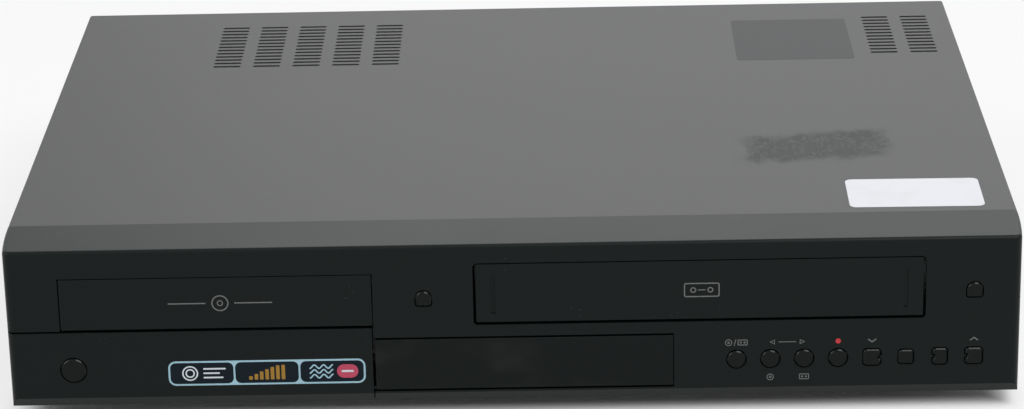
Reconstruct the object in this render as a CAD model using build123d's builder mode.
from build123d import *
import math
import os

# A full-width player with a disc tray at the left and a video cassette slot at the right.
# Millimetres. X runs to the right seen from the front, Y to the back, Z up.
# The origin is on the ground, under the middle of the whole machine.

os.makedirs("parts", exist_ok=True)

# ------------------------------------------------------------------ driving sizes: the case
width = 430.0           # across the steel cover
height = 79.0           # ground to the top of the cover
panel_depth = 31.0      # front moulding, from its face to the seam with the cover
cover_depth = 295.0     # steel cover, from the seam to its rear edge
socket_reach = 9.0      # the rear sockets stand out this far past the cover
foot_height = 8.5
foot_radius = 15.0
foot_taper = -4         # degrees, a foot widens upwards
foot_hollow = 1.2       # shallow hollow under a foot, and its radius as a share of the foot's
foot_hollow_share = 0.45
foot_inset_x = 42.0     # foot centre to the side of the case
foot_inset_y = 45.0     # foot centre to the front or rear of the case
cover_sheet = 0.8       # steel thickness of the cover and the rear panel
cover_drop = 0.15       # the cover lies this far below the moulding's top strip
chassis_sheet = 1.0     # steel thickness of the tray-shaped bottom
cover_hem = 1.2         # the cover's sides end this far above the chassis underside
cover_bend = 1.6        # outside radius of the cover's two long bends
dimple_depth = 1.2      # pressed seats that take the side screws' heads
dimple_radius = 5.0
flange_height = 22.0    # side flanges of the bottom
rear_flange = 11.0      # the cover's lip over the rear panel
fit = 0.3               # free space between pieces that only sit side by side
run_fit = 0.05          # radial clearance of shafts that turn or slide in a bore
side_screw_front = 42.0 # front side screw behind the seam
side_screw_rear = 38.0  # rear side screw before the cover's rear edge
side_screw_rise = 12.0  # side screws above the underside of the bottom
rear_screw_inset = 22.0
rear_screw_drop = 6.0

# ------------------------------------------------------------------ driving sizes: the front
panel_bottom = 7.7
panel_wall = 2.8        # front wall
panel_roof = 2.4        # top wall of the moulding
panel_floor = 2.2       # bottom wall of the moulding
panel_lip = 16.0        # how far the bottom wall runs back
face_inset = 2.0        # the moulding is this much narrower each side at its face
corner_radius = 3.5     # upright front corners
brow_radius = 1.6       # edge between the face and the top strip
undercut_height = 4.6   # sloped lower edge of the face
undercut_depth = 3.4
block_return = 12.0     # how far the lower left block wraps round the side
groove = 0.8            # visible groove round the lower left block
edge_round = 0.4        # front edges of the tray's cap, the door and the flap
cap_corner = 0.6        # corner radii of the tray's cap and the door
door_corner = 0.72
tray_side = 24.1        # left side of the case to the tray's opening
tray_opening = 132.25   # the lower left block ends with it
slot_side = 41.5        # right side of the case to the cassette's opening
slot_opening = 189.9
flap_lead = 26.3        # flap's right end to the first key of the row
split_z = 42.9          # lines of the face, from the ground
tray_top = 66.6
slot_bottom = 42.8
slot_top = 70.75
slot_corner = 1.8
flap_bottom = 13.1
flap_top = 37.65
tray_gap = 0.35
slot_gap = 1.0
flap_gap = 0.4
flap_finger_gap = 0.9   # the wider gap along the flap's top
flap_thick = 2.6
flap_pin_rise = 1.3     # hinge line above the flap's lower edge
flap_pin_radius = 0.7
door_thick = 1.8
door_set_back = 0.3     # the cassette door sits this far behind the face
door_pin_drop = 0.55    # hinge line below the door's upper edge
door_pin_radius = 0.5
pin_length = 1.8        # how far the flap's and the door's pins enter the moulding
door_rib_inset = 7.4    # upright grooves near the door's ends
door_rib_width = 1.8
door_rib_depth = 0.5
door_rib_margin = 4.0
recess_depth = 20.0     # behind the flap, from the face to the jack plate
recess_wall = 1.5
recess_step = 0.4       # the recess sits this far above the flap's opening
display_inset = 6.0     # left wall of the recess to the display window
display_width = 52.0
display_margin = 2.5    # window to the recess's floor and roof
display_depth = 6.0
display_lip = 2.0       # the display's board reaches past the window
front_jack_lead = 10.0  # display window to the first jack
front_jack_pitch = 13.0
front_jack_body = 10.0
jack_body_height = 12.0
jack_body_back = 12.0   # the jacks' bodies end this far behind the plate
usb_lead = 15.0         # last jack to the middle of the flat socket
usb_width = 13.0
usb_height = 5.8
usb_shell = 0.5
usb_tongue = 1.7

# keys
key_row_side = 120.9    # right side of the case to the first key of the row
key_pitch = 14.28
key_row_z = 25.3
power_side = 28.8
power_z = 25.1
eject_z = 55.35
tray_eject_lead = 21.35 # tray's opening to its eject key
slot_eject_lead = 20.4
half = width / 2
key_row_x = half - key_row_side
power_x = -half + power_side
tray_left = -half + tray_side
split_x = tray_left + tray_opening
slot_right = half - slot_side
slot_left = slot_right - slot_opening
flap_right = key_row_x - flap_lead
keys = {                # centre X, centre Z and shape of each
    "power_button": (power_x, power_z, "large"),
    "dvd_eject_button": (split_x + tray_eject_lead, eject_z, "arch"),
    "vcr_eject_button": (slot_right + slot_eject_lead, eject_z, "arch"),
    "source_button": (key_row_x, key_row_z, "round"),
    "dub_to_dvd_button": (key_row_x + key_pitch, key_row_z, "round"),
    "dub_to_vcr_button": (key_row_x + 2 * key_pitch, key_row_z, "round"),
    "record_button": (key_row_x + 3 * key_pitch, key_row_z, "round"),
    "rewind_button": (key_row_x + 4 * key_pitch, key_row_z, "rewind"),
    "stop_button": (key_row_x + 5 * key_pitch, key_row_z, "square"),
    "play_button": (key_row_x + 6 * key_pitch, key_row_z, "play"),
    "forward_button": (key_row_x + 7 * key_pitch, key_row_z, "forward"),
}
power_radius = 5.3
round_key_radius = 3.9
arch_size = 6.5
square_key = 6.2
arrow_key = 7.2
key_gap = 0.5
key_proud = 0.7         # how far a cap stands out of the face
key_bevel = 0.45
key_travel = 1.0
key_flange = 1.2        # thickness of the collar that keeps a cap in
key_collar = 1.0        # how far the collar reaches past the hole
key_stem_radius = 1.6
arch_foot_share = 0.7   # foot's height and the corner radii of the key shapes, as shares of their size
arch_foot_round = 0.15
block_round = 0.2
notch_share = 0.14
switch_size = 6.0
switch_body = 3.5
switch_plunger = 0.9
switch_plunger_radius = 1.7
board_thick = 1.6
board_margin = 8.0      # front boards reach this far past the outer switches' centres
power_board_half = 11.0
row_board_below = 11.0
row_board_above = 13.0
eject_board_half = 12.0
front_board_gap = 11.7  # front wall to the front boards

# ------------------------------------------------------------------ driving sizes: disc drive
tray_inset = 1.125      # tray's edge inside the opening, each side
tray_length = 180.0
tray_thick = 8.0
tray_base_z = 46.2
tray_travel = 142.0
disc_radius = 60.5      # pocket for a 120 mm disc
small_disc_radius = 41.0
pocket_depth = 5.0
small_pocket_depth = 1.2
pocket_margin = 8.0     # solid tray in front of the pocket
tray_slot_width = 46.0  # way for the spindle and the pickup
tray_bar = 3.2          # upright bar that carries the tray's cap
tray_bar_low = 1.7      # the bar hangs this far below the tray
tray_bar_high = 9.0
loader_floor_z = 28.0
loader_floor = 2.0
loader_wall = 2.6
loader_top_z = 62.0
loader_front_gap = 6.5  # face to the loader's front edge
loader_length = 185.0
rail_width = 3.9
rail_height = 2.4
bridge_thick = 2.0
bridge_length = 66.0
clamp_radius = 15.0
clamp_neck = 8.0
pinion_teeth = 18
pinion_module = 1.0
wheel_teeth = 36
motor_teeth = 12
tooth_tip = 0.85        # teeth reach this far past the pitch line, in modules
tooth_root = 1.2        # and are this deep below it
tooth_tip_half = 0.12   # half a tooth's width at its tip and root, as shares of the pitch
tooth_root_half = 0.28
wheel_module = 0.8
pinion_inset = 21.5     # pinion axis behind the face
pinion_offset = 31.0    # pinion axis left of the tray's middle
rack_back = 2.8         # solid bar behind the rack's teeth
gear_post_radius = 2.0
post_step = 2.0         # shoulder that a wheel or arm rests on
wheel_z = 36.2
wheel_thick = 4.0
tray_motor_radius = 11.0
motor_shaft_radius = 1.0
loader_post_radius = 3.5
loader_post_front = 38.0
loader_post_rear = 8.0
loader_post_inset = 4.0
traverse_width = 76.0
traverse_length = 126.0
traverse_z = 33.0
traverse_sheet = 2.0
traverse_pin_radius = 2.0
turntable_radius = 14.5
disc_plane_z = 50.6     # underside of a clamped disc
sled_travel = 34.0
sled_start = 24.0       # lens to spindle with the pickup at the inner edge
sled_length = 28.0
sled_height = 8.4
rod_spread = 30.0       # each guide rod is this far from the middle
rod_radius = 1.5
rod_z = 38.5
screw_offset = 36.0
screw_z = 41.5
feed_motor_radius = 4.3
pivot_lead = 100.0      # spindle to the traverse's hinge line
traverse_tail = 4.0     # plate behind the hinge line
traverse_clear = 4.0    # space each side of the plate in the loader's floor
lug_width = 5.0
rod_block_half = 3.0    # blocks that hold the guide rods
rod_block_depth = 2.0
rod_overhang = 6.0      # rod past the pickup at each end of its travel
lead_screw_radius = 1.5
feed_motor_length = 10.0
spindle_motor_height = 7.0
hub_radius = 7.4        # cone that centres the disc
hub_height = 2.4
hub_taper = 30          # degrees
turntable_thick = 4.0
turntable_neck = 5.0
clamp_disc_thick = 2.7
clamp_cap_thick = 1.5
clamp_lift = 2.0        # room for the clamp to rise through its bridge
pickup_body_half = 19.0
pickup_window_half = 22.0
pickup_height = 6.0
lens_radius = 3.0
lens_ring_radius = 6.0

# ------------------------------------------------------------------ driving sizes: tape deck
cassette_width = 187.0
cassette_height = 25.0
cassette_depth = 104.0
cassette_play = 0.8     # free space each side of a cassette
holder_sheet = 0.8
holder_front_gap = 37.5  # face to the holder's front edge
holder_travel = 55.0
holder_drop = 18.0
holder_ledge = 14.8
deck_z = 19.0
deck_sheet = 1.5
deck_margin = 9.0       # deck plate past the holder, each side
deck_front_gap = 39.5   # face to the deck plate
deck_length = 245.0
arm_thick = 0.7
arm_gap = 0.45
arm_width = 30.0
frame_gap = 0.9
guide_pin_radius = 1.5
holder_pin_lead = 55.0  # holder's front edge to its pin
holder_pin_rise = 17.2  # slot's lower edge to the holder's pin
slide_pin_rise = 6.0    # arm's sliding pins above the holder's pin
slide_pin_half = 10.0   # each sliding pin before or behind the holder's pin
holder_window_half = 70.0
holder_window_front = 24.0
holder_window_rear = 18.0
deck_post_radius = 4.0
deck_post_inset = 6.0
frame_sheet = 1.0
frame_tie_front = 42.0  # cross piece of the carriage frame behind the holder's pin
frame_tie_rear = 60.0
reel_spacing = 91.0
reel_radius = 17.0
reel_height = 4.0
spindle_radius = 9.0
spindle_height = 13.0
reel_shaft_radius = 2.5
reel_core_inset = 1.5   # reel's core inside the tips of its splines
reel_spline = 1.6
reel_spline_drop = 3.0  # the splines end this far below the core's top
hub_setback = 46.0      # cassette front edge to the line of its hubs
drum_radius = 31.0
drum_tilt = 5.6         # degrees
drum_gap_y = 7.0        # lowered cassette to the drum
drum_lower_height = 17.0
drum_upper_height = 18.0
drum_shaft_radius = 3.0
drum_rise = 3.6         # deck plate to the middle of the drum's lower face
drum_stand_height = 10.0
drum_stand_share = 0.65 # stand's radius as a share of the drum's
guide_radius = 44.0     # the tape guides run round the drum on this radius
guide_sweep = 65.0      # degrees
guide_start = 45.0      # degrees from straight ahead of the drum
guide_slot = 5.0
guide_post_radius = 2.5
guide_post_height = 24.0
guide_base_radius = 6.5
guide_base_height = 3.5
guide_shoe_radius = 4.5 # shoe that holds a guide down from below the plate
guide_shoe_depth = 1.7
guide_rim = 1.2         # rim on top of a guide's post
capstan_dx = 58.0
capstan_dy = -18.0
capstan_radius = 2.0
capstan_top_z = 56.0
flywheel_radius = 24.0
flywheel_height = 6.0
bearing_height = 14.0
bearing_wall = 3.0
roller_radius = 7.5
roller_height = 15.0
roller_z = 34.0
pinch_reach = 23.4
pinch_swing = 28.0      # degrees
pinch_rest = 247.6      # degrees, direction of the arm at rest
press_angle = -30.0     # degrees, capstan to the roller when it presses
pinch_arm_rise = 5.5    # deck plate to the arm
pinch_arm_thick = 4.0
pinch_arm_width = 9.0
roller_pin_radius = 1.5
head_height = 27.0
head_width = 10.0
head_depth = 8.0
load_motor_radius = 9.0
load_motor_length = 28.0
load_motor_lead = 60.0  # drum's axis to the end of the loading motor
load_motor_back = 12.0
winding_rim = 2.0       # the capstan motor's winding board reaches past the flywheel
winding_thick = 1.0
sound_head_back = 6.0   # audio head behind the drum's axis

# ------------------------------------------------------------------ driving sizes: boards and sockets
board_z = 16.0
main_board_half = 59.0
main_board_front = 32.0 # spindle to the main board's front edge
main_board_back = 110.0
post_spread = 55.0      # posts of the main and power boards, from the tray's middle
post_inset = 10.0       # posts to the front and rear edges of those boards
av_post_spread = 110.0
av_board_left = 124.0
av_board_right = 128.0
board_rear_gap = 3.0
power_board_depth = 104.0
power_board_left = 80.0
power_board_right = 62.0
post_radius = 3.0
post_bore = 1.25
rca_radius = 4.15
rca_hole = 1.6
rca_depth = 7.0
rca_reach = 8.0         # phono barrels stand out of the rear panel
rca_seat = 5.0          # and sit this deep in their housing
rca_housing = 13.0
rca_pitch = 14.0
rca_row_z = (10.0, 26.0)
scart_width = 49.0
scart_height = 18.0
scart_wall = 1.5
scart_groove = 2.0
contact_depth = 7.0     # slots of the contacts
contact_pitch = 4.0
contact_count = 10      # in each of the two rows
contact_width = 1.0
contact_height = 3.0
contact_row_half = 2.6
scart_inside = 16.0     # body behind the rear panel
scart_groove_depth = 8.0
scart_core_set_back = 0.8
scart_dx = (-52.0, 6.0) # sockets from the middle of the cassette slot
rca_dx = 46.0
hdmi_dx = -106.0
hdmi_rise = 4.0
hdmi_depth = 9.0
hdmi_half = 7.5
hdmi_half_height = 3.0
hdmi_proud = 0.8        # shell out of the rear panel
hdmi_mouth = [(-7, 2.25), (7, 2.25), (7, -0.8), (5.5, -2.25), (-5.5, -2.25), (-7, -0.8)]
hdmi_tongue_half = 6.0
hdmi_tongue_low, hdmi_tongue_high = -0.1, 0.9
tuner_dx = 112.0
tuner_rise = (12.0, 31.0)
tuner_half = 13.0
inlet_dx = -66.0        # mains inlet from the tray's middle
inlet_z = 34.0
inlet_half = 11.7
inlet_half_height = 7.7
inlet_flange = 2.2
inlet_slot = 18.0
inlet_slot_height = 9.4
inlet_depth = 13.0
inlet_pin_half = 4.3
inlet_pin_radius = 1.2
aerial_radius = 4.75
aerial_hole = 1.2
aerial_wall = 0.9
screw_head = 3.2
screw_head_height = 1.3
screw_shank = 1.4
screw_length = 7.0

# ------------------------------------------------------------------ places worked out from them
overall_depth = key_proud + panel_depth + cover_depth + socket_reach
face_y = key_proud - overall_depth / 2
seam_y = face_y + panel_depth
rear_y = seam_y + cover_depth
socket_y = rear_y + socket_reach
wall_back_y = face_y + panel_wall
rear_outer_y = rear_y - cover_sheet
rear_inner_y = rear_outer_y - cover_sheet
cover_top_z = height - cover_drop
roof_z = cover_top_z - cover_sheet
chassis_z = foot_height
floor_z = chassis_z + chassis_sheet
flange_x = half - cover_sheet - dimple_depth
inner_x = half - face_inset - panel_wall
face = Plane.XZ.offset(-face_y)
panel_cut = panel_wall + 1

tray_x = (tray_left + split_x) / 2
tray_width = tray_opening - 2 * tray_inset
tray_front_y = face_y + panel_wall
tray_back_y = tray_front_y + tray_length
tray_top_z = tray_base_z + tray_thick
disc_y = tray_front_y + pocket_margin + disc_radius
loader_front_y = face_y + loader_front_gap
loader_inner = tray_width / 2 + fit
loader_outer = loader_inner + loader_wall
pinion_x = tray_x - pinion_offset
pinion_y = face_y + pinion_inset
pinion_radius = pinion_module * pinion_teeth / 2
pitch_line_x = pinion_x - pinion_radius
motor_x = pinion_x + wheel_module * (wheel_teeth + motor_teeth) / 2
pivot_y = disc_y + pivot_lead
pivot_z = traverse_z + traverse_sheet / 2
traverse_back_y = pivot_y + traverse_tail
traverse_front_y = traverse_back_y - traverse_length
lens_y = disc_y + sled_start
opening_half = traverse_width / 2 + traverse_clear

slot_x = (slot_left + slot_right) / 2
holder_half = cassette_width / 2 + cassette_play + holder_sheet
holder_front_y = face_y + holder_front_gap
holder_length = cassette_depth + 2
ledge_z = slot_bottom - 0.1
holder_roof_z = slot_bottom + cassette_height + cassette_play
arm_x = holder_half + arm_gap
frame_x = arm_x + arm_thick + frame_gap
deck_half = holder_half + deck_margin
deck_front_y = face_y + deck_front_gap
deck_back_y = deck_front_y + deck_length
deck_top_z = deck_z + deck_sheet
cassette_y = holder_front_y + holder_travel + 1
reel_y = cassette_y + hub_setback
drum_y = cassette_y + cassette_depth + drum_gap_y + drum_radius
capstan_x = slot_x + capstan_dx
capstan_y = drum_y + capstan_dy
flywheel_z = floor_z + 1.4
holder_pin_y = holder_front_y + holder_pin_lead
holder_pin_z = slot_bottom + holder_pin_rise
slide_pin_z = holder_pin_z + slide_pin_rise
plate_y = face_y + recess_depth
switch_board_y = wall_back_y + front_board_gap
switch_back_y = switch_board_y + board_thick
av_front_y = deck_back_y + board_rear_gap
power_y1 = rear_inner_y - board_rear_gap
power_y0 = power_y1 - power_board_depth

mode_cut = Mode.SUBTRACT


def block(x0, x1, y0, y1, z0, z1, mode=Mode.ADD):
    """Add or cut a box that runs between the given limits."""
    with Locations(((x0 + x1) / 2, (y0 + y1) / 2, (z0 + z1) / 2)):
        Box(x1 - x0, y1 - y0, z1 - z0, mode=mode)


def upright(x, y, z0, z1, radius, mode=Mode.ADD):
    """Add or cut an upright cylinder."""
    with Locations((x, y, (z0 + z1) / 2)):
        Cylinder(radius, z1 - z0, mode=mode)


def along_y(x, z, y0, y1, radius, mode=Mode.ADD):
    """Add or cut a cylinder that lies along Y."""
    with Locations((x, (y0 + y1) / 2, z)):
        Cylinder(radius, y1 - y0, rotation=(90, 0, 0), mode=mode)


def along_x(y, z, x0, x1, radius, mode=Mode.ADD):
    """Add or cut a cylinder that lies along X."""
    with Locations(((x0 + x1) / 2, y, z)):
        Cylinder(radius, x1 - x0, rotation=(0, 90, 0), mode=mode)


def save(builder, name):
    """Name the finished piece and write it."""
    builder.part.label = name
    export_step(builder.part, f"parts/{name}.step")


def key_shape(shape):
    """Draw one key's front outline about the sketch's own middle."""
    if shape == "large":
        Circle(power_radius)
    elif shape == "round":
        Circle(round_key_radius)
    elif shape == "arch":
        # a round head on a foot with rounded corners
        foot = arch_size * arch_foot_share
        Circle(arch_size / 2)
        with Locations((0, (foot - arch_size) / 2)):
            RectangleRounded(arch_size, foot, arch_size * arch_foot_round)
    elif shape == "square":
        RectangleRounded(square_key, square_key, square_key * block_round)
    else:
        # an arrow key is a rounded block with a notch in its tail
        key_width = square_key if shape == "play" else arrow_key
        tail = 1 if shape == "rewind" else -1
        RectangleRounded(key_width, arrow_key, arrow_key * block_round)
        with Locations((tail * key_width / 2, 0)):
            Circle(arrow_key * notch_share, mode=mode_cut)


def key_outline(name, y, grow=0.0):
    """A key's outline on the upright plane at y, grown all round by the given gap."""
    x, z, shape = keys[name]
    with BuildSketch(Plane(origin=(x, y, z), x_dir=(1, 0, 0), z_dir=(0, -1, 0))) as outline:
        key_shape(shape)
        if grow:
            offset(amount=grow)
    return outline.sketch


def gear_outline(x, y, z, teeth, module, turn):
    """A spur gear's outline: straight-sided teeth, thinned so that a pair runs free."""
    pitch_radius = module * teeth / 2
    tip, root = pitch_radius + tooth_tip * module, pitch_radius - tooth_root * module
    corners = []
    for tooth in range(teeth):
        for radius, share in ((root, -tooth_root_half), (tip, -tooth_tip_half), (tip, tooth_tip_half),
                              (root, tooth_root_half)):
            angle = math.radians(turn) + 2 * math.pi * (tooth + share) / teeth
            corners.append((x + radius * math.cos(angle), y + radius * math.sin(angle)))
    with BuildSketch(Plane.XY.offset(z)) as outline:
        Polygon(*corners, align=None)
    return outline.sketch


# ================================================================== the case
with BuildPart() as bottom_chassis:
    # folded steel tray with a narrower tongue inside the front moulding
    block(-flange_x, flange_x, seam_y + fit, rear_inner_y, chassis_z, floor_z)
    block(-inner_x + fit, inner_x - fit, face_y + panel_lip + fit, seam_y + fit, chassis_z, floor_z)
    for side in (-1, 1):
        inner, outer = sorted((side * (flange_x - chassis_sheet), side * flange_x))
        block(inner, outer, seam_y + fit, rear_inner_y, floor_z, chassis_z + flange_height)
    # seats for the boards, the loader and the deck
    main_posts = [disc_y - main_board_front + post_inset, disc_y + main_board_back - post_inset]
    power_posts = [power_y0 + post_inset, power_y1 - post_inset]
    board_posts = [(tray_x + side * post_spread, y)
                   for side in (-1, 1) for y in main_posts + power_posts]
    board_posts += [(slot_x + side * av_post_spread, power_posts[1]) for side in (-1, 0, 1)]
    for x, y in board_posts:
        upright(x, y, floor_z, board_z, post_radius)
        upright(x, y, floor_z, board_z, post_bore, mode_cut)
    loader_post_x = loader_outer - loader_post_inset
    for x in (tray_x - loader_post_x, tray_x + loader_post_x):
        for y in (loader_front_y + loader_post_front, loader_front_y + loader_length - loader_post_rear):
            upright(x, y, floor_z, loader_floor_z, loader_post_radius)
    deck_post_x = deck_half - deck_post_inset
    for x in (slot_x - deck_post_x, slot_x + deck_post_x):
        for y in (deck_front_y + deck_post_inset, deck_back_y - deck_post_inset):
            upright(x, y, floor_z, deck_z, deck_post_radius)
    # clearance holes for the side screws
    side_screw_z = chassis_z + side_screw_rise
    side_screws = [(seam_y + side_screw_front, side_screw_z), (rear_y - side_screw_rear, side_screw_z)]
    for y, z in side_screws:
        along_x(y, z, -half, half, screw_shank + run_fit, mode_cut)
save(bottom_chassis, "bottom_chassis")

# --- steel cover: one sheet folded over the top and both sides, with a lip at the rear
vent_width = 13.3
vent_height = 2.3
vent_pitch = 5.0
vent_rear = 24.8        # last row of slots to the cover's rear edge
vent_fields = [(-138.6, 19.08, 5, 13), (178.2, 19.08, 2, 12)]

with BuildPart() as top_cover:
    cover_z = chassis_z + cover_hem
    with BuildSketch(Plane.XZ.offset(-seam_y - fit)):
        with BuildLine():
            Polyline((-half, cover_z), (-half, cover_top_z), (half, cover_top_z), (half, cover_z))
            Line((half, cover_z), (-half, cover_z))
        make_face()
    extrude(amount=-(cover_depth - fit))
    fillet(top_cover.faces().sort_by(Axis.Z)[-1].edges().filter_by(Axis.Y), cover_bend)
    inside = half - cover_sheet
    block(-inside, inside, seam_y, rear_y - cover_sheet, cover_z - 1, roof_z, mode_cut)
    block(-inside, inside, rear_y - cover_sheet, rear_y, cover_z - 1, cover_top_z - rear_flange,
          mode_cut)
    for side in (-1, 1):
        for y, z in side_screws:
            low, high = sorted((side * flange_x, side * inside))
            along_x(y, z, low, high, dimple_radius + cover_sheet)
            low, high = sorted((side * (half - dimple_depth), side * (half + 1)))
            along_x(y, z, low, high, dimple_radius, mode_cut)
            low, high = sorted((side * (flange_x - 1), side * half))
            along_x(y, z, low, high, screw_shank + run_fit, mode_cut)
    # ventilation slots
    with BuildSketch(Plane.XY.offset(roof_z - 1)):
        for first_x, pitch_x, columns, rows in vent_fields:
            field_y = rear_y - vent_rear - (rows - 1) * vent_pitch / 2
            field_x = first_x + (columns - 1) * pitch_x / 2
            with Locations((field_x, field_y)):
                with GridLocations(pitch_x, vent_pitch, columns, rows):
                    SlotOverall(vent_width, vent_height)
    extrude(amount=cover_sheet + 2, mode=mode_cut)
    # holes for the rear screws
    rear_screws = [(x, height - rear_screw_drop)
                   for x in (-half + rear_screw_inset, 0, half - rear_screw_inset)]
    for x, z in rear_screws:
        along_y(x, z, rear_y - 2, rear_y + 1, screw_shank + run_fit, mode_cut)
save(top_cover, "top_cover")

# --- front moulding: one shell, from which the lower left block is parted
with BuildPart(mode=Mode.PRIVATE) as shell:
    with BuildSketch(Plane.XY.offset(panel_bottom)):
        with BuildLine():
            Line((-half, seam_y), (half, seam_y))
            ThreePointArc((half, seam_y), (half - face_inset / 4, seam_y - panel_depth / 2),
                          (half - face_inset, face_y))
            Line((half - face_inset, face_y), (-half + face_inset, face_y))
            ThreePointArc((-half + face_inset, face_y),
                          (-half + face_inset / 4, seam_y - panel_depth / 2), (-half, seam_y))
        make_face()
    extrude(amount=height - panel_bottom)
    upright_edges = shell.edges().filter_by(Axis.Z).group_by(Axis.Y)[0]
    fillet(upright_edges, corner_radius)
    # sloped lower edge
    with BuildSketch(Plane.YZ):
        Polygon((face_y - 1, panel_bottom - 1), (face_y - 1, panel_bottom + undercut_height),
                (face_y, panel_bottom + undercut_height), (face_y + undercut_depth, panel_bottom),
                (face_y + undercut_depth, panel_bottom - 1), align=None)
    extrude(amount=half + 1, both=True, mode=mode_cut)
    brow = shell.faces().sort_by(Axis.Z)[-1].edges()
    fillet([edge for edge in brow if edge.center().Y < seam_y - 1], brow_radius)
    # hollow, open to the rear
    block(-inner_x, inner_x, wall_back_y, seam_y + 1, panel_bottom + panel_floor,
          height - panel_roof, mode_cut)
    block(-inner_x, inner_x, face_y + panel_lip, seam_y + 1, panel_bottom - 1,
          panel_bottom + panel_floor + 1, mode_cut)

flap_pin_y = face_y + flap_thick / 2
flap_low = flap_bottom + fit
flap_pin_z = flap_low + flap_pin_rise
door_low = slot_bottom + slot_gap
door_high = slot_top - slot_gap / 2
door_front_y = face_y + door_set_back
door_pin_y = door_front_y + door_thick * 2 / 3
door_pin_z = door_high - door_pin_drop

with BuildPart() as front_panel:
    add(shell.part)
    # space of the lower left block
    block(-half - 1, split_x, face_y - 1, face_y + block_return, panel_bottom - 1, split_z, mode_cut)
    # openings for the disc tray, the cassette and the flap
    block(tray_left, split_x, face_y - 1, wall_back_y + 1, split_z - 1, tray_top, mode_cut)
    with BuildSketch(face):
        with Locations((slot_x, (slot_bottom + slot_top) / 2)):
            RectangleRounded(slot_right - slot_left, slot_top - slot_bottom, slot_corner)
    extrude(amount=-panel_cut, mode=mode_cut)
    block(split_x, flap_right, face_y - 1, wall_back_y + 1, flap_bottom, flap_top, mode_cut)
    # walled recess behind the flap, with a window for the display in its plate
    recess_x0 = max(split_x, tray_x + loader_outer) + fit
    recess_z0, recess_z1 = flap_bottom + recess_step, flap_top + recess_step
    recess_back_y = plate_y + recess_wall
    block(recess_x0, flap_right + recess_wall, wall_back_y, recess_back_y, recess_z0, recess_z1)
    recess_left = recess_x0 + recess_wall
    recess_low, recess_high = recess_z0 + recess_wall, recess_z1 - recess_wall
    block(recess_left, flap_right - 1, wall_back_y - 1, plate_y, recess_low, recess_high, mode_cut)
    display_x0 = recess_left + display_inset
    display_x1 = display_x0 + display_width
    display_z0, display_z1 = recess_low + display_margin, recess_high - display_margin
    block(display_x0, display_x1, plate_y - 1, recess_back_y + 1, display_z0, display_z1, mode_cut)
    jack_z = (recess_low + recess_high) / 2
    jack_xs = [display_x1 + front_jack_lead + front_jack_pitch * n for n in range(3)]
    usb_x = jack_xs[-1] + usb_lead
    for x in jack_xs:
        along_y(x, jack_z, plate_y - 1, recess_back_y + 1, rca_radius + fit, mode_cut)
    usb_half, usb_half_height = usb_width / 2, usb_height / 2
    block(usb_x - usb_half - fit, usb_x + usb_half + fit, plate_y - 1, recess_back_y + 1,
          jack_z - usb_half_height - fit, jack_z + usb_half_height + fit, mode_cut)
    # sockets for the hinge pins
    along_x(flap_pin_y, flap_pin_z, flap_right - 1, flap_right + pin_length, flap_pin_radius + run_fit,
            mode_cut)
    along_x(door_pin_y, door_pin_z, slot_left - pin_length, slot_left + 1, door_pin_radius + run_fit,
            mode_cut)
    along_x(door_pin_y, door_pin_z, slot_right - 1, slot_right + pin_length,
            door_pin_radius + run_fit, mode_cut)
    for name in keys:
        if name != "power_button":
            extrude(key_outline(name, face_y, key_gap), amount=-panel_cut, mode=mode_cut)
save(front_panel, "front_panel")

with BuildPart() as lower_left_block:
    add(shell.part)
    block(-half - 1, split_x - groove, face_y - 1, face_y + block_return, panel_bottom - 1,
          split_z - groove, Mode.INTERSECT)
    extrude(key_outline("power_button", face_y, key_gap), amount=-panel_cut, mode=mode_cut)
    along_x(flap_pin_y, flap_pin_z, split_x - groove - pin_length, split_x, flap_pin_radius + run_fit,
            mode_cut)
save(lower_left_block, "lower_left_block")

# --- cassette door, hung by two pins at its upper corners
with BuildPart() as vcr_door:
    door_x0, door_x1 = slot_left + slot_gap, slot_right - slot_gap
    with BuildSketch(Plane.XZ.offset(-door_front_y)):
        with Locations(((door_x0 + door_x1) / 2, (door_low + door_high) / 2)):
            RectangleRounded(door_x1 - door_x0, door_high - door_low, door_corner)
    extrude(amount=-door_thick)
    fillet(vcr_door.faces().sort_by(Axis.Y)[0].edges(), edge_round)
    for x in (door_x0 + door_rib_inset, door_x1 - door_rib_inset):
        block(x - door_rib_width / 2, x + door_rib_width / 2, door_front_y - 1,
              door_front_y + door_rib_depth, door_low + door_rib_margin,
              door_high - door_rib_margin - 1, mode_cut)
    pin_reach = slot_gap + pin_length - fit
    along_x(door_pin_y, door_pin_z, door_x0 - pin_reach, door_x0, door_pin_radius)
    along_x(door_pin_y, door_pin_z, door_x1, door_x1 + pin_reach, door_pin_radius)
save(vcr_door, "vcr_door")

# --- drop-down flap over the front jacks
with BuildPart() as jack_flap:
    flap_x0, flap_x1 = split_x + flap_gap, flap_right - flap_gap
    flap_high = flap_top - flap_finger_gap
    block(flap_x0, flap_x1, face_y, face_y + flap_thick, flap_low, flap_high)
    fillet(jack_flap.faces().sort_by(Axis.Z)[0].edges().filter_by(Axis.X), flap_thick / 2 - 0.05)
    fillet(jack_flap.faces().sort_by(Axis.Z)[-1].edges().filter_by(Axis.X).sort_by(Axis.Y)[0], edge_round)
    along_x(flap_pin_y, flap_pin_z, flap_x0 - groove - flap_gap - pin_length + fit, flap_x0,
            flap_pin_radius)
    along_x(flap_pin_y, flap_pin_z, flap_x1, flap_x1 + flap_gap + pin_length - fit, flap_pin_radius)
save(jack_flap, "jack_flap")

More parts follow.
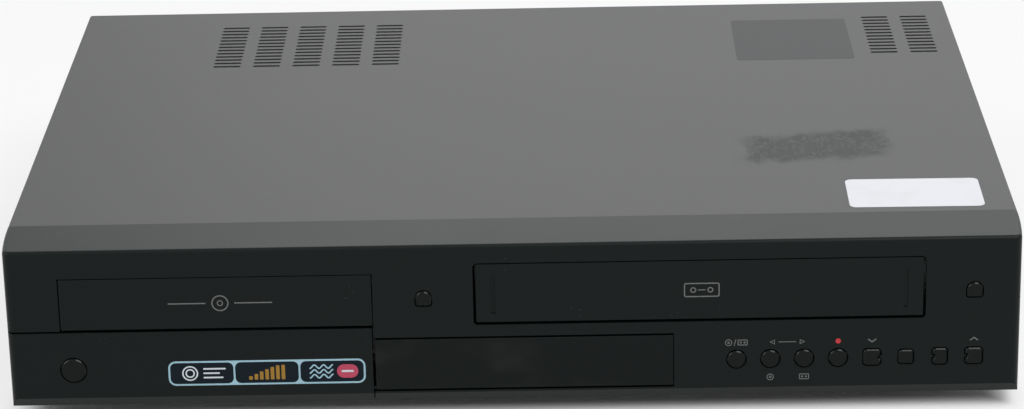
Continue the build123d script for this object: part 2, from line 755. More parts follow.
# --- push keys: a cap, a collar behind the wall and a stem to the switch
switch_tip_y = switch_board_y - switch_body - switch_plunger
collar_y = wall_back_y + fit
for name, (x, z, shape) in keys.items():
    with BuildPart() as key:
        extrude(key_outline(name, collar_y), amount=collar_y - face_y + key_proud)
        chamfer(key.faces().sort_by(Axis.Y)[0].edges(), key_bevel)
        extrude(key_outline(name, collar_y, key_gap + key_collar), amount=-key_flange)
        along_y(x, z, collar_y + key_flange, switch_tip_y - key_travel - run_fit, key_stem_radius)
    save(key, name)

with BuildPart() as front_boards:
    row_x0 = key_row_x - board_margin
    row_x1 = keys["vcr_eject_button"][0] + board_margin + post_radius
    row_top = key_row_z + row_board_above
    block(row_x0, row_x1, switch_board_y, switch_back_y, key_row_z - row_board_below, row_top)
    block(row_x1 - 2 * board_margin - post_radius, row_x1, switch_board_y, switch_back_y, row_top,
          eject_z + board_margin)
    eject_x = keys["dvd_eject_button"][0]
    block(eject_x - eject_board_half, eject_x + eject_board_half, switch_board_y, switch_back_y,
          eject_z - board_margin, eject_z + board_margin)
    block(power_x - power_board_half - post_radius, power_x + power_board_half, switch_board_y,
          switch_back_y, power_z - power_board_half, power_z + switch_size)
    for x, z, shape in keys.values():
        block(x - switch_size / 2, x + switch_size / 2, switch_board_y - switch_body,
              switch_board_y, z - switch_size / 2, z + switch_size / 2)
        along_y(x, z, switch_tip_y, switch_board_y - switch_body, switch_plunger_radius)
save(front_boards, "front_boards")

with BuildPart() as display_module:
    glass_y = plate_y + fit
    glass_back_y = plate_y + display_depth
    block(display_x0 + fit, display_x1 - fit, glass_y, glass_back_y, display_z0 + fit, display_z1 - fit)
    block(display_x0 - display_lip, display_x1 + display_lip, glass_back_y, glass_back_y + board_thick,
          display_z0 - display_lip / 2, display_z1 + display_lip / 2)
save(display_module, "display_module")

with BuildPart() as front_jacks:
    body_y0, body_y1 = recess_back_y + 0.1, plate_y + jack_body_back
    for x in jack_xs:
        along_y(x, jack_z, plate_y - rca_depth, body_y0, rca_radius)
        block(x - front_jack_body / 2, x + front_jack_body / 2, body_y0, body_y1,
              jack_z - jack_body_height / 2, jack_z + jack_body_height / 2)
        along_y(x, jack_z, plate_y - rca_depth - 1, plate_y + 1, rca_hole, mode_cut)
    block(usb_x - usb_half, usb_x + usb_half, plate_y - 1, body_y1, jack_z - usb_half_height,
          jack_z + usb_half_height)
    mouth_half, mouth_height = usb_half - usb_shell, usb_half_height - usb_shell
    block(usb_x - mouth_half, usb_x + mouth_half, plate_y - 2, body_y1 - 3, jack_z - mouth_height,
          jack_z + mouth_height, mode_cut)
    block(usb_x - mouth_half + 1, usb_x + mouth_half - 1, plate_y, body_y1 - 3,
          jack_z + mouth_height - usb_shell - usb_tongue, jack_z + mouth_height - usb_shell)
save(front_jacks, "front_jacks")

# --- feet and screws
with BuildPart() as feet:
    foot_spots = [(side * (half - foot_inset_x), y)
                  for side in (-1, 1) for y in (face_y + foot_inset_y, rear_y - foot_inset_y)]
    for x, y in foot_spots:
        with BuildSketch():
            with Locations((x, y)):
                Circle(foot_radius)
        extrude(amount=foot_height, taper=foot_taper)
        upright(x, y, -1, foot_hollow, foot_radius * foot_hollow_share, mode_cut)
save(feet, "feet")

with BuildPart() as case_screws:
    seat_x = half - dimple_depth
    for side in (-1, 1):
        for y, z in side_screws:
            low, high = sorted((side * seat_x, side * (half - 0.1)))
            along_x(y, z, low, high, screw_head)
            low, high = sorted((side * seat_x, side * (seat_x - screw_length)))
            along_x(y, z, low, high, screw_shank)
    for x, z in rear_screws:
        along_y(x, z, rear_y, rear_y + screw_head_height, screw_head)
        along_y(x, z, rear_y - screw_length, rear_y, screw_shank)
save(case_screws, "case_screws")

# ================================================================== disc drive
with BuildPart() as dvd_loader_frame:
    x0, x1 = tray_x - loader_outer, tray_x + loader_outer
    loader_back_y = loader_front_y + loader_length
    block(x0, x1, loader_front_y, loader_back_y, loader_floor_z, loader_top_z)
    block(tray_x - loader_inner, tray_x + loader_inner, loader_front_y - 1, loader_back_y + 1,
          loader_floor_z + loader_floor, loader_top_z + 1, mode_cut)
    block(tray_x - opening_half, tray_x + opening_half, traverse_front_y - traverse_clear,
          traverse_back_y + traverse_clear + 2,
          loader_floor_z - 1, loader_floor_z + loader_floor + 1, mode_cut)
    rail_low_z, rail_high_z = tray_base_z - fit, tray_top_z + fit
    for side in (-1, 1):
        # lower and upper rails for the tray
        low, high = sorted((tray_x + side * (loader_inner - rail_width), tray_x + side * loader_inner))
        block(low, high, loader_front_y, loader_back_y, rail_low_z - rail_height, rail_low_z)
        block(low, high, loader_front_y, loader_back_y, rail_high_z, rail_high_z + rail_height)
        # lugs that carry the traverse's pins
        low, high = sorted((tray_x + side * opening_half, tray_x + side * (opening_half + lug_width)))
        block(low, high, pivot_y - lug_width, pivot_y + lug_width, loader_floor_z, pivot_z + lug_width)
    lug_end = opening_half + lug_width + 1
    along_x(pivot_y, pivot_z, tray_x - lug_end, tray_x + lug_end,
            traverse_pin_radius + run_fit, mode_cut)
    upright(pinion_x, pinion_y, loader_floor_z, tray_base_z - 2 * fit, gear_post_radius)
    upright(pinion_x, pinion_y, loader_floor_z, wheel_z - fit, gear_post_radius + post_step)
    upright(motor_x, pinion_y, loader_floor_z - 1, loader_floor_z + loader_floor + 1,
            motor_shaft_radius + post_step, mode_cut)
    # notch that clears the power key's board
    block(x0 - 1, power_x + power_board_half + 1, loader_front_y - 1,
          switch_back_y + 1, loader_floor_z - 1, power_z + switch_size + 2, mode_cut)
save(dvd_loader_frame, "dvd_loader_frame")

with BuildPart() as dvd_tray:
    block(tray_x - tray_width / 2, tray_x + tray_width / 2, tray_front_y, tray_back_y, tray_base_z,
          tray_top_z)
    fillet(dvd_tray.edges().filter_by(Axis.Z).group_by(Axis.Y)[-1], 6)
    upright(tray_x, disc_y, tray_top_z - pocket_depth, tray_top_z + 1, disc_radius, mode_cut)
    upright(tray_x, disc_y, tray_top_z - pocket_depth - small_pocket_depth, tray_top_z,
            small_disc_radius, mode_cut)
    upright(tray_x, disc_y, tray_base_z - 1, tray_top_z, tray_slot_width / 2, mode_cut)
    block(tray_x - tray_slot_width / 2, tray_x + tray_slot_width / 2, disc_y, tray_back_y + 1,
          tray_base_z - 1, tray_top_z + 1, mode_cut)
    block(tray_x - tray_width / 2 + 5, tray_x + tray_width / 2 - 5, tray_front_y,
          tray_front_y + tray_bar, tray_base_z - tray_bar_low, tray_top_z + tray_bar_high)
    # toothed rack under the tray
    rack_pitch = math.pi * pinion_module
    rack_tip_x = pitch_line_x + tooth_tip * pinion_module
    rack_root_x = pitch_line_x - tooth_root * pinion_module
    rack_z = split_z - groove + fit
    root_half, tip_half = tooth_root_half * rack_pitch, tooth_tip_half * rack_pitch
    teeth_ahead = int((pinion_y - tray_front_y - 4) / rack_pitch)
    teeth_behind = int((tray_travel + 10) / rack_pitch)
    rack_y0 = pinion_y - (teeth_ahead + 0.5) * rack_pitch
    rack_y1 = pinion_y + (teeth_behind + 0.5) * rack_pitch
    block(rack_root_x - rack_back, rack_root_x, rack_y0, rack_y1, rack_z, tray_base_z)
    with BuildSketch(Plane.XY.offset(rack_z)):
        for tooth in range(-teeth_ahead, teeth_behind):
            y = pinion_y + (tooth + 0.5) * rack_pitch
            Polygon((rack_root_x, y - root_half), (rack_tip_x, y - tip_half), (rack_tip_x, y + tip_half),
                    (rack_root_x, y + root_half), align=None)
    extrude(amount=tray_base_z - rack_z)
save(dvd_tray, "dvd_tray")

with BuildPart() as dvd_tray_cap:
    with BuildSketch(face):
        with Locations((tray_x, (split_z + tray_top) / 2)):
            RectangleRounded(split_x - tray_left - 2 * tray_gap, tray_top - split_z - 2 * tray_gap,
                             cap_corner)
    extrude(amount=-panel_wall)
    fillet(dvd_tray_cap.faces().sort_by(Axis.Y)[0].edges(), edge_round)
save(dvd_tray_cap, "dvd_tray_cap")

with BuildPart() as tray_drive_gear:
    extrude(gear_outline(pinion_x, pinion_y, wheel_z, wheel_teeth, wheel_module, 0), amount=wheel_thick)
    extrude(gear_outline(pinion_x, pinion_y, wheel_z + wheel_thick, pinion_teeth, pinion_module, 0),
            amount=tray_base_z - wheel_z - wheel_thick - fit)
    upright(pinion_x, pinion_y, wheel_z - 1, tray_base_z, gear_post_radius + run_fit, mode_cut)
save(tray_drive_gear, "tray_drive_gear")

with BuildPart() as tray_motor:
    upright(motor_x, pinion_y, floor_z + 2.5, loader_floor_z, tray_motor_radius)
    upright(motor_x, pinion_y, loader_floor_z - 6, loader_floor_z + 1, motor_shaft_radius + run_fit,
            mode_cut)
save(tray_motor, "tray_motor")

with BuildPart() as tray_motor_gear:
    extrude(gear_outline(motor_x, pinion_y, wheel_z, motor_teeth, wheel_module, 180 / motor_teeth),
            amount=wheel_thick)
    upright(motor_x, pinion_y, loader_floor_z - 5, wheel_z + wheel_thick, motor_shaft_radius)
save(tray_motor_gear, "tray_motor_gear")

with BuildPart() as clamp_bridge:
    block(tray_x - loader_outer, tray_x + loader_outer, disc_y - bridge_length / 2,
          disc_y + bridge_length / 2, loader_top_z, loader_top_z + bridge_thick)
    upright(tray_x, disc_y, loader_top_z - 1, loader_top_z + bridge_thick + 1, clamp_neck + 1, mode_cut)
save(clamp_bridge, "clamp_bridge")

with BuildPart() as disc_clamp:
    clamp_z = disc_plane_z + hub_height + fit
    clamp_disc_z = clamp_z + clamp_disc_thick
    clamp_cap_z = loader_top_z + bridge_thick + clamp_lift
    upright(tray_x, disc_y, clamp_z, clamp_disc_z, clamp_radius)
    upright(tray_x, disc_y, clamp_disc_z, clamp_cap_z, clamp_neck)
    upright(tray_x, disc_y, clamp_cap_z, clamp_cap_z + clamp_cap_thick, clamp_radius - 2)
save(disc_clamp, "disc_clamp")

# --- traverse: the tilting plate with the spindle, the pickup and its rods
traverse_top_z = traverse_z + traverse_sheet
rod_y0 = lens_y - sled_length / 2 - rod_overhang
rod_y1 = lens_y + sled_length / 2 + sled_travel + rod_overhang
screw_x = tray_x + screw_offset
with BuildPart() as traverse_chassis:
    half_plate = traverse_width / 2
    block(tray_x - half_plate, tray_x + half_plate, traverse_front_y, traverse_back_y, traverse_z,
          traverse_top_z)
    block(tray_x - pickup_window_half, tray_x + pickup_window_half, lens_y - 8,
          lens_y + sled_travel + sled_length / 2, traverse_z - 1, traverse_top_z + 1, mode_cut)
    for y in (rod_y0, rod_y1):
        for side in (-1, 1):
            rod_x = tray_x + side * rod_spread
            block(rod_x - rod_block_half, rod_x + rod_block_half, y - rod_block_depth,
                  y + rod_block_depth, traverse_top_z, rod_z + rod_block_half)
            along_y(rod_x, rod_z, y - rod_block_half, y + rod_block_half, rod_radius, mode_cut)
    block(screw_x - 2, screw_x + 2, rod_y0 - rod_block_depth, rod_y0 + rod_block_depth,
          traverse_top_z, screw_z + rod_block_half)
    along_y(screw_x, screw_z, rod_y0 - rod_block_half, rod_y0 + rod_block_half,
            motor_shaft_radius + run_fit, mode_cut)
    upright(tray_x, disc_y, traverse_z - 1, traverse_top_z + 1, turntable_neck - 1, mode_cut)
    pin_end = opening_half + lug_width - 1
    along_x(pivot_y, pivot_z, tray_x - pin_end, tray_x - half_plate, traverse_pin_radius)
    along_x(pivot_y, pivot_z, tray_x + half_plate, tray_x + pin_end, traverse_pin_radius)
save(traverse_chassis, "traverse_chassis")

with BuildPart() as sled_guide_rods:
    for side in (-1, 1):
        along_y(tray_x + side * rod_spread, rod_z, rod_y0 - rod_block_half, rod_y1 + rod_block_half,
                rod_radius)
save(sled_guide_rods, "sled_guide_rods")

feed_motor_y = rod_y1 + rod_block_depth
with BuildPart() as traverse_motors:
    upright(tray_x, disc_y, traverse_z - spindle_motor_height, traverse_z, turntable_radius)
    upright(tray_x, disc_y, traverse_z - 5, traverse_z + 1, motor_shaft_radius + run_fit, mode_cut)
    along_y(screw_x, screw_z, feed_motor_y, feed_motor_y + feed_motor_length, feed_motor_radius)
    along_y(screw_x, screw_z, feed_motor_y - 1, feed_motor_y + 6, motor_shaft_radius + run_fit, mode_cut)
save(traverse_motors, "traverse_motors")

with BuildPart() as disc_turntable:
    disc_low_z = disc_plane_z - turntable_thick
    upright(tray_x, disc_y, traverse_z - 4, traverse_top_z + 1, motor_shaft_radius)
    upright(tray_x, disc_y, traverse_top_z + 1, disc_low_z, turntable_neck)
    upright(tray_x, disc_y, disc_low_z, disc_plane_z, turntable_radius)
    with BuildSketch(Plane.XY.offset(disc_plane_z)):
        with Locations((tray_x, disc_y)):
            Circle(hub_radius)
    extrude(amount=hub_height, taper=hub_taper)
save(disc_turntable, "disc_turntable")

with BuildPart() as pickup_sled:
    sled_z = traverse_top_z + 2 * fit
    sled_top_z = sled_z + sled_height
    sled_half = rod_spread + rod_block_half
    sled_y0, sled_y1 = lens_y - sled_length / 2, lens_y + sled_length / 2
    block(tray_x - sled_half, tray_x + sled_half, sled_y0, sled_y1, sled_z, sled_z + pickup_height)
    block(tray_x - pickup_body_half, tray_x + pickup_body_half, sled_y0, sled_y1, sled_z, sled_top_z)
    # arm that the lead screw drives
    block(tray_x + rod_spread, screw_x - lead_screw_radius - fit, lens_y - 4, lens_y + 4, sled_z + 2,
          screw_z + lead_screw_radius)
    for side in (-1, 1):
        along_y(tray_x + side * rod_spread, rod_z, sled_y0 - 1, sled_y1 + 1, rod_radius + run_fit,
                mode_cut)
    upright(tray_x, lens_y, sled_top_z, sled_top_z + 2, lens_ring_radius)
    upright(tray_x, lens_y, sled_top_z + 2, sled_top_z + 2.8, lens_radius)
save(pickup_sled, "pickup_sled")

with BuildPart() as sled_lead_screw:
    shoulder_y0, shoulder_y1 = rod_y0 + rod_block_depth + 0.5, feed_motor_y - 1
    along_y(screw_x, screw_z, shoulder_y0, shoulder_y1, lead_screw_radius)
    along_y(screw_x, screw_z, rod_y0 - rod_block_depth, shoulder_y0, motor_shaft_radius)
    along_y(screw_x, screw_z, shoulder_y1, feed_motor_y + 5, motor_shaft_radius)
save(sled_lead_screw, "sled_lead_screw")

# ================================================================== tape deck
drum_plane = Plane(origin=(slot_x, drum_y, deck_top_z + drum_rise), x_dir=(1, 0, 0),
                   z_dir=(0, -math.sin(math.radians(drum_tilt)), math.cos(math.radians(drum_tilt))))


def guide_arc(side):
    """The path of one tape guide: an arc round the drum, from in front of it to its side."""
    start = -90 + guide_start if side > 0 else -90 - guide_start - guide_sweep
    return CenterArc((slot_x, drum_y), guide_radius, start, guide_sweep)


with BuildPart() as deck_plate:
    block(slot_x - deck_half, slot_x + deck_half, deck_front_y, deck_back_y, deck_z, deck_top_z)
    for side in (-1, 1):
        with BuildSketch(Plane.XY.offset(deck_z - 1)):
            SlotArc(guide_arc(side), guide_slot)
        extrude(amount=deck_sheet + 2, mode=mode_cut)
        reel_x = slot_x + side * reel_spacing / 2
        upright(reel_x, reel_y, deck_top_z, deck_top_z + spindle_height, reel_shaft_radius)
    upright(capstan_x, capstan_y, deck_z, deck_z + bearing_height, capstan_radius + bearing_wall)
    upright(capstan_x, capstan_y, deck_z - 1, deck_z + bearing_height + 1, capstan_radius + run_fit,
            mode_cut)
    pinch_angle = math.radians(pinch_rest)
    closed_angle = math.radians(pinch_rest - pinch_swing)
    press_distance = capstan_radius + roller_radius + fit
    press_turn = math.radians(press_angle)
    pressed_x = capstan_x + press_distance * math.cos(press_turn)
    pressed_y = capstan_y + press_distance * math.sin(press_turn)
    pinch_x = pressed_x - pinch_reach * math.cos(closed_angle)
    pinch_y = pressed_y - pinch_reach * math.sin(closed_angle)
    arm_z = deck_top_z + pinch_arm_rise
    arm_top_z = arm_z + pinch_arm_thick
    upright(pinch_x, pinch_y, deck_top_z, arm_top_z + 2, gear_post_radius)
    upright(pinch_x, pinch_y, deck_top_z, arm_z - fit, gear_post_radius + post_step)
save(deck_plate, "deck_plate")

with BuildPart() as drum_lower:
    with BuildSketch(drum_plane):
        Circle(drum_radius)
    extrude(amount=drum_lower_height)
    with BuildSketch(drum_plane):
        Circle(drum_shaft_radius)
    extrude(amount=drum_lower_height + drum_upper_height)
    upright(slot_x, drum_y, deck_top_z, deck_top_z + drum_stand_height, drum_radius * drum_stand_share)
save(drum_lower, "drum_lower")

with BuildPart() as drum_upper:
    with BuildSketch(drum_plane.offset(drum_lower_height + fit)):
        Circle(drum_radius)
        Circle(drum_shaft_radius + run_fit, mode=mode_cut)
    extrude(amount=drum_upper_height)
    with BuildSketch(drum_plane.offset(drum_lower_height + fit + drum_upper_height - 3)):
        Circle(drum_radius - 4)
        Circle(drum_shaft_radius + 5, mode=mode_cut)
    extrude(amount=4, mode=mode_cut)
save(drum_upper, "drum_upper")

with BuildPart() as capstan:
    upright(capstan_x, capstan_y, flywheel_z, capstan_top_z, capstan_radius)
    upright(capstan_x, capstan_y, flywheel_z, flywheel_z + flywheel_height, flywheel_radius)
save(capstan, "capstan")

with BuildPart() as deck_motors:
    # the capstan motor's flat winding board and the loading motor
    upright(capstan_x, capstan_y, floor_z, floor_z + winding_thick, flywheel_radius + winding_rim)
    load_motor_x = slot_x - load_motor_lead
    along_x(drum_y + load_motor_back, deck_top_z + load_motor_radius, load_motor_x - load_motor_length,
            load_motor_x, load_motor_radius)
save(deck_motors, "deck_motors")

with BuildPart() as pinch_arm:
    roller_x = pinch_x + pinch_reach * math.cos(pinch_angle)
    roller_y = pinch_y + pinch_reach * math.sin(pinch_angle)
    with BuildSketch(Plane.XY.offset(arm_z)):
        with Locations(((pinch_x + roller_x) / 2, (pinch_y + roller_y) / 2)):
            SlotCenterToCenter(pinch_reach, pinch_arm_width, rotation=pinch_rest)
    extrude(amount=pinch_arm_thick)
    upright(pinch_x, pinch_y, arm_z - 1, arm_top_z + 1, gear_post_radius + run_fit, mode_cut)
    upright(roller_x, roller_y, arm_z, roller_z + roller_height + 0.5, roller_pin_radius)
    upright(roller_x, roller_y, arm_top_z, roller_z - fit, 2 * roller_pin_radius)
save(pinch_arm, "pinch_arm")

with BuildPart() as pinch_roller:
    upright(roller_x, roller_y, roller_z, roller_z + roller_height, roller_radius)
    upright(roller_x, roller_y, roller_z - 1, roller_z + roller_height + 1,
            roller_pin_radius + run_fit, mode_cut)
save(pinch_roller, "pinch_roller")

for name, side in (("supply_reel", -1), ("takeup_reel", 1)):
    with BuildPart() as reel:
        reel_x = slot_x + side * reel_spacing / 2
        reel_z = deck_top_z + fit
        upright(reel_x, reel_y, reel_z, reel_z + reel_height, reel_radius)
        upright(reel_x, reel_y, reel_z + reel_height, reel_z + reel_height + spindle_height,
                spindle_radius - reel_core_inset)
        for third in range(3):
            with BuildSketch(Plane.XY.offset(reel_z + reel_height)):
                with Locations((reel_x, reel_y)):
                    Rectangle(2 * spindle_radius, reel_spline, rotation=60 * third)
            extrude(amount=spindle_height - reel_spline_drop)
        upright(reel_x, reel_y, reel_z - 1, deck_top_z + spindle_height + fit,
                reel_shaft_radius + run_fit, mode_cut)
    save(reel, name)

for name, side in (("supply_guide", -1), ("takeup_guide", 1)):
    with BuildPart() as guide:
        start = math.radians(-90 + side * guide_start)
        guide_x = slot_x + guide_radius * math.cos(start)
        guide_y = drum_y + guide_radius * math.sin(start)
        base_top_z, post_top_z = deck_top_z + guide_base_height, deck_top_z + guide_post_height
        upright(guide_x, guide_y, deck_top_z + fit, base_top_z, guide_base_radius)
        upright(guide_x, guide_y, deck_z - fit, deck_top_z + fit, guide_slot / 2 - 4 * run_fit)
        upright(guide_x, guide_y, deck_z - guide_shoe_depth, deck_z - fit, guide_shoe_radius)
        upright(guide_x, guide_y, base_top_z, post_top_z, guide_post_radius)
        upright(guide_x, guide_y, post_top_z, post_top_z + guide_rim, guide_post_radius + guide_rim)
    save(guide, name)

with BuildPart() as tape_heads:
    # full erase head at the left, audio and control head at the right
    for x, y in ((slot_x - capstan_dx, capstan_y), (capstan_x, drum_y + sound_head_back)):
        block(x - head_width / 2, x + head_width / 2, y - head_depth / 2, y + head_depth / 2,
              deck_top_z, deck_top_z + head_height)
save(tape_heads, "tape_heads")

with BuildPart() as carriage_frame:
    frame_y1 = holder_front_y + holder_length + holder_travel + 1
    frame_top_z = holder_roof_z + 2
    for side in (-1, 1):
        low, high = sorted((slot_x + side * frame_x, slot_x + side * (frame_x + frame_sheet)))
        block(low, high, holder_front_y, frame_y1, deck_top_z, frame_top_z)
    block(slot_x - frame_x - frame_sheet, slot_x + frame_x + frame_sheet,
          holder_pin_y + frame_tie_front, holder_pin_y + frame_tie_rear, frame_top_z,
          frame_top_z + frame_sheet)
    # level slots for the arms' pins
    slide_clear = guide_pin_radius + 0.1
    block(slot_x - frame_x - 2, slot_x + frame_x + 2, holder_pin_y - slide_pin_half - slide_clear,
          holder_pin_y + slide_pin_half + holder_travel + slide_clear, slide_pin_z - slide_clear,
          slide_pin_z + slide_clear, mode_cut)
save(carriage_frame, "carriage_frame")

with BuildPart() as carriage_arms:
    arm_low_z = holder_pin_z - holder_drop - 6
    for side in (-1, 1):
        low, high = sorted((slot_x + side * arm_x, slot_x + side * (arm_x + arm_thick)))
        block(low, high, holder_pin_y - arm_width / 2, holder_pin_y + arm_width / 2, arm_low_z,
              slide_pin_z + 3)
        block(low - 0.1, high + 0.1, holder_pin_y - slide_clear, holder_pin_y + slide_clear,
              holder_pin_z - holder_drop - slide_clear, holder_pin_z + slide_clear, mode_cut)
        low, high = sorted((slot_x + side * (arm_x + arm_thick),
                            slot_x + side * (frame_x + frame_sheet + 0.5)))
        for y in (holder_pin_y - slide_pin_half, holder_pin_y + slide_pin_half):
            along_x(y, slide_pin_z, low, high, guide_pin_radius)
save(carriage_arms, "carriage_arms")

with BuildPart() as cassette_holder:
    holder_y1 = holder_front_y + holder_length
    block(slot_x - holder_half, slot_x + holder_half, holder_front_y, holder_y1,
          ledge_z - holder_sheet, holder_roof_z + holder_sheet)
    block(slot_x - holder_half + holder_sheet, slot_x + holder_half - holder_sheet,
          holder_front_y - 1, holder_y1 + 1, ledge_z, holder_roof_z, mode_cut)
    block(slot_x - holder_half + holder_ledge, slot_x + holder_half - holder_ledge,
          holder_front_y - 1, holder_y1 + 1, ledge_z - holder_sheet - 1, ledge_z + 1, mode_cut)
    block(slot_x - holder_window_half, slot_x + holder_window_half,
          holder_front_y + holder_window_front, holder_y1 - holder_window_rear, holder_roof_z - 1,
          holder_roof_z + holder_sheet + 1, mode_cut)
    for side in (-1, 1):
        low, high = sorted((slot_x + side * holder_half, slot_x + side * (arm_x + arm_thick)))
        along_x(holder_pin_y, holder_pin_z, low, high, guide_pin_radius)
save(cassette_holder, "cassette_holder")

# ================================================================== boards and rear sockets
board_top_z = board_z + board_thick


def chips(x, y, parts):
    """Blocks on a board, each (x0, x1, y0, y1, height) from the point (x, y)."""
    for x0, x1, y0, y1, tall in parts:
        block(x + x0, x + x1, y + y0, y + y1, board_top_z, board_top_z + tall)


with BuildPart() as main_board:
    block(tray_x - main_board_half, tray_x + main_board_half, disc_y - main_board_front,
          disc_y + main_board_back, board_z, board_top_z)
    # the large decoder, a memory chip and the flat cable's connector
    chips(tray_x, disc_y, [(-20, 14, 12, 46, 2.2), (28, 42, 20, 42, 1.4), (-56, -26, -26, -20, 5)])
save(main_board, "main_board")

with BuildPart() as power_supply_board:
    block(tray_x - power_board_left, tray_x + power_board_right, power_y0, power_y1, board_z,
          board_top_z)
    # transformer, heat sink and mains filter
    chips(tray_x, power_y0, [(-16, 26, 40, 76, 30), (-30, 34, 10, 13, 34), (-64, -34, 62, 84, 18)])
    # smoothing capacitors: place, radius and height
    for x, y, radius, tall in ((-46, 40, 11, 32), (44, 26, 6, 20), (44, 44, 6, 20), (44, 62, 5, 16)):
        upright(tray_x + x, power_y0 + y, board_top_z, board_top_z + tall, radius)
save(power_supply_board, "power_supply_board")

with BuildPart() as av_board:
    block(slot_x - av_board_left, slot_x + av_board_right, av_front_y, power_y1, board_z, board_top_z)
save(av_board, "av_board")

scart_xs = [slot_x + dx for dx in scart_dx]
scart_z = board_top_z + scart_height / 2 + 0.4
rca_xs = [slot_x + rca_dx + rca_pitch * n for n in range(3)]
rca_zs = [board_top_z + rise for rise in rca_row_z]
hdmi_x = slot_x + hdmi_dx
hdmi_z = board_top_z + hdmi_rise
tuner_x = slot_x + tuner_dx
tuner_zs = [board_top_z + rise for rise in tuner_rise]
inlet_x = tray_x + inlet_dx

with BuildPart() as rear_panel:
    block(-flange_x, flange_x, rear_inner_y, rear_outer_y, chassis_z, roof_z - fit)
    cut_y0, cut_y1 = rear_inner_y - 1, rear_outer_y + 1
    for x in scart_xs:
        block(x - scart_width / 2 - fit, x + scart_width / 2 + fit, cut_y0, cut_y1,
              scart_z - scart_height / 2 - fit, scart_z + scart_height / 2 + fit, mode_cut)
    for x in rca_xs:
        for z in rca_zs:
            along_y(x, z, cut_y0, cut_y1, rca_radius + fit, mode_cut)
    for z in tuner_zs:
        along_y(tuner_x, z, cut_y0, cut_y1, aerial_radius + fit, mode_cut)
    block(hdmi_x - hdmi_half - fit, hdmi_x + hdmi_half + fit, cut_y0, cut_y1,
          hdmi_z - hdmi_half_height - fit, hdmi_z + hdmi_half_height + fit, mode_cut)
    block(inlet_x - inlet_half - fit, inlet_x + inlet_half + fit, cut_y0, cut_y1,
          inlet_z - inlet_half_height - fit, inlet_z + inlet_half_height + fit, mode_cut)
    with BuildSketch(Plane.XZ.offset(-rear_inner_y + 1)):
        with Locations((tray_x + 12, (floor_z + roof_z) / 2)):
            with GridLocations(vent_pitch, 24, 14, 2):
                SlotOverall(18, vent_height, rotation=90)
    extrude(amount=-4, mode=mode_cut)
    for x, z in rear_screws:
        along_y(x, z, cut_y0, cut_y1, screw_shank + run_fit, mode_cut)
save(rear_panel, "rear_panel")

with BuildPart() as scart_sockets:
    for x in scart_xs:
        x0, x1 = x - scart_width / 2, x + scart_width / 2
        z0, z1 = scart_z - scart_height / 2, scart_z + scart_height / 2
        block(x0, x1, rear_inner_y - scart_inside, socket_y, z0, z1)
        # shield groove round the contact block
        block(x0 + scart_wall, x1 - scart_wall, socket_y - scart_groove_depth, socket_y + 1,
              z0 + scart_wall, z1 - scart_wall, mode_cut)
        core = scart_wall + scart_groove
        block(x0 + core, x1 - core, socket_y - scart_groove_depth - 1, socket_y - scart_core_set_back,
              z0 + core, z1 - core)
        for row in (-1, 1):
            with BuildSketch(Plane.XZ.offset(-socket_y)):
                with Locations((x + row, scart_z + row * contact_row_half)):
                    with GridLocations(contact_pitch, 1, contact_count, 1):
                        Rectangle(contact_width, contact_height)
            extrude(amount=contact_depth, mode=mode_cut)
save(scart_sockets, "scart_sockets")

with BuildPart() as rca_sockets:
    # a moulded housing that holds six turned barrels
    seat_y = rear_inner_y - rca_seat
    barrel_y = rear_outer_y + rca_reach
    rca_spots = [(x, z) for x in rca_xs for z in rca_zs]
    block(rca_xs[0] - rca_pitch / 2, rca_xs[-1] + rca_pitch / 2, rear_inner_y - rca_housing,
          rear_inner_y, board_top_z, rca_zs[-1] + rca_reach)
    for x, z in rca_spots:
        along_y(x, z, seat_y, rear_inner_y + 1, rca_radius + run_fit, mode_cut)
    for x, z in rca_spots:
        along_y(x, z, seat_y + run_fit, barrel_y, rca_radius)
        along_y(x, z, barrel_y - rca_depth, barrel_y + 1, rca_hole, mode_cut)
save(rca_sockets, "rca_sockets")

with BuildPart() as hdmi_socket:
    hdmi_front_y = rear_outer_y + hdmi_proud
    hdmi_back_y = hdmi_front_y - hdmi_depth
    block(hdmi_x - hdmi_half, hdmi_x + hdmi_half, hdmi_back_y - chassis_sheet, hdmi_front_y,
          hdmi_z - hdmi_half_height, hdmi_z + hdmi_half_height)
    with BuildSketch(Plane.XZ.offset(-hdmi_front_y)):
        with Locations((hdmi_x, hdmi_z)):
            Polygon(*hdmi_mouth, align=None)
    extrude(amount=hdmi_depth, mode=mode_cut)
    block(hdmi_x - hdmi_tongue_half, hdmi_x + hdmi_tongue_half, hdmi_back_y - chassis_sheet / 2,
          rear_outer_y - hdmi_proud, hdmi_z + hdmi_tongue_low, hdmi_z + hdmi_tongue_high)
save(hdmi_socket, "hdmi_socket")

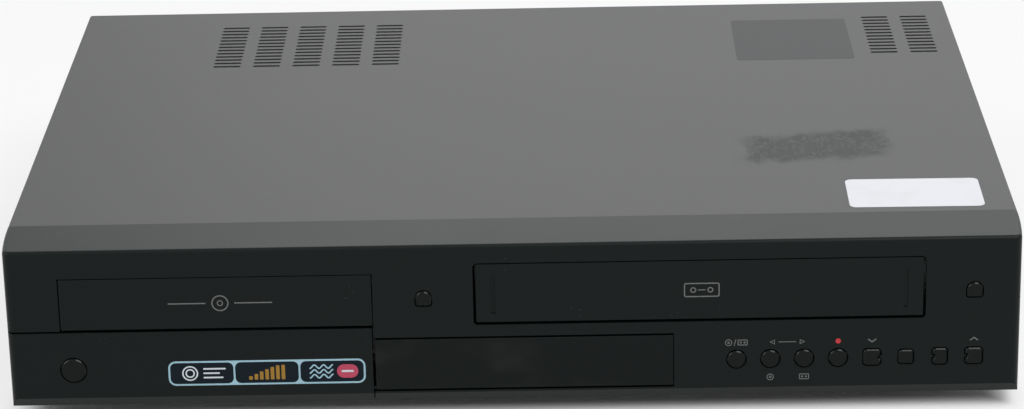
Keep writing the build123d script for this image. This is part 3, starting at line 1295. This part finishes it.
with BuildPart() as tuner_module:
    block(tuner_x - tuner_half, tuner_x + tuner_half, av_front_y + 1, rear_inner_y, board_top_z,
          tuner_zs[-1] + tuner_rise[0])
    for z in tuner_zs:
        along_y(tuner_x, z, rear_inner_y, socket_y - 0.5, aerial_radius)
        along_y(tuner_x, z, rear_outer_y, socket_y + 1, aerial_radius - aerial_wall, mode_cut)
        along_y(tuner_x, z, rear_outer_y - 1, socket_y - 2, aerial_hole)
save(tuner_module, "tuner_module")

with BuildPart() as mains_inlet:
    inlet_front_y = rear_outer_y + inlet_flange
    block(inlet_x - inlet_half, inlet_x + inlet_half, rear_inner_y - inlet_depth - 1, rear_outer_y,
          inlet_z - inlet_half_height, inlet_z + inlet_half_height)
    block(inlet_x - inlet_half - inlet_flange, inlet_x + inlet_half + inlet_flange, rear_outer_y,
          inlet_front_y, inlet_z - inlet_half_height - inlet_flange,
          inlet_z + inlet_half_height + inlet_flange)
    with BuildSketch(Plane.XZ.offset(-inlet_front_y)):
        with Locations((inlet_x, inlet_z)):
            SlotOverall(inlet_slot, inlet_slot_height)
    extrude(amount=inlet_depth, mode=mode_cut)
    for side in (-1, 1):
        along_y(inlet_x + side * inlet_pin_half, inlet_z, inlet_front_y - inlet_depth, rear_outer_y + 0.5,
                inlet_pin_radius)
save(mains_inlet, "mains_inlet")

print("overall", width, overall_depth, height)
print("tray middle", tray_x, "disc", disc_y, "pinion", pinion_x, pinion_y, "motor", motor_x)
print("traverse hinge", pivot_y, pivot_z, "lead screw", screw_x, screw_z, "cassette slot", slot_x)
print("drum", drum_y, "capstan", capstan_x, capstan_y, "pinch arm", pinch_x, pinch_y)
print("pinch roller", roller_x, roller_y, "reels", reel_y)
print("door pin", door_pin_y, door_pin_z, "flap pin", flap_pin_y, flap_pin_z)
print("recess", recess_left, recess_low, recess_high, plate_y, "jacks", jack_xs, usb_x, jack_z)
print("rear", rear_y, rear_outer_y, "scart", scart_xs, scart_z, "phono", rca_xs, rca_zs)
print("hdmi", hdmi_x, hdmi_z, "aerial", tuner_x, tuner_zs, "mains", inlet_x, inlet_z)
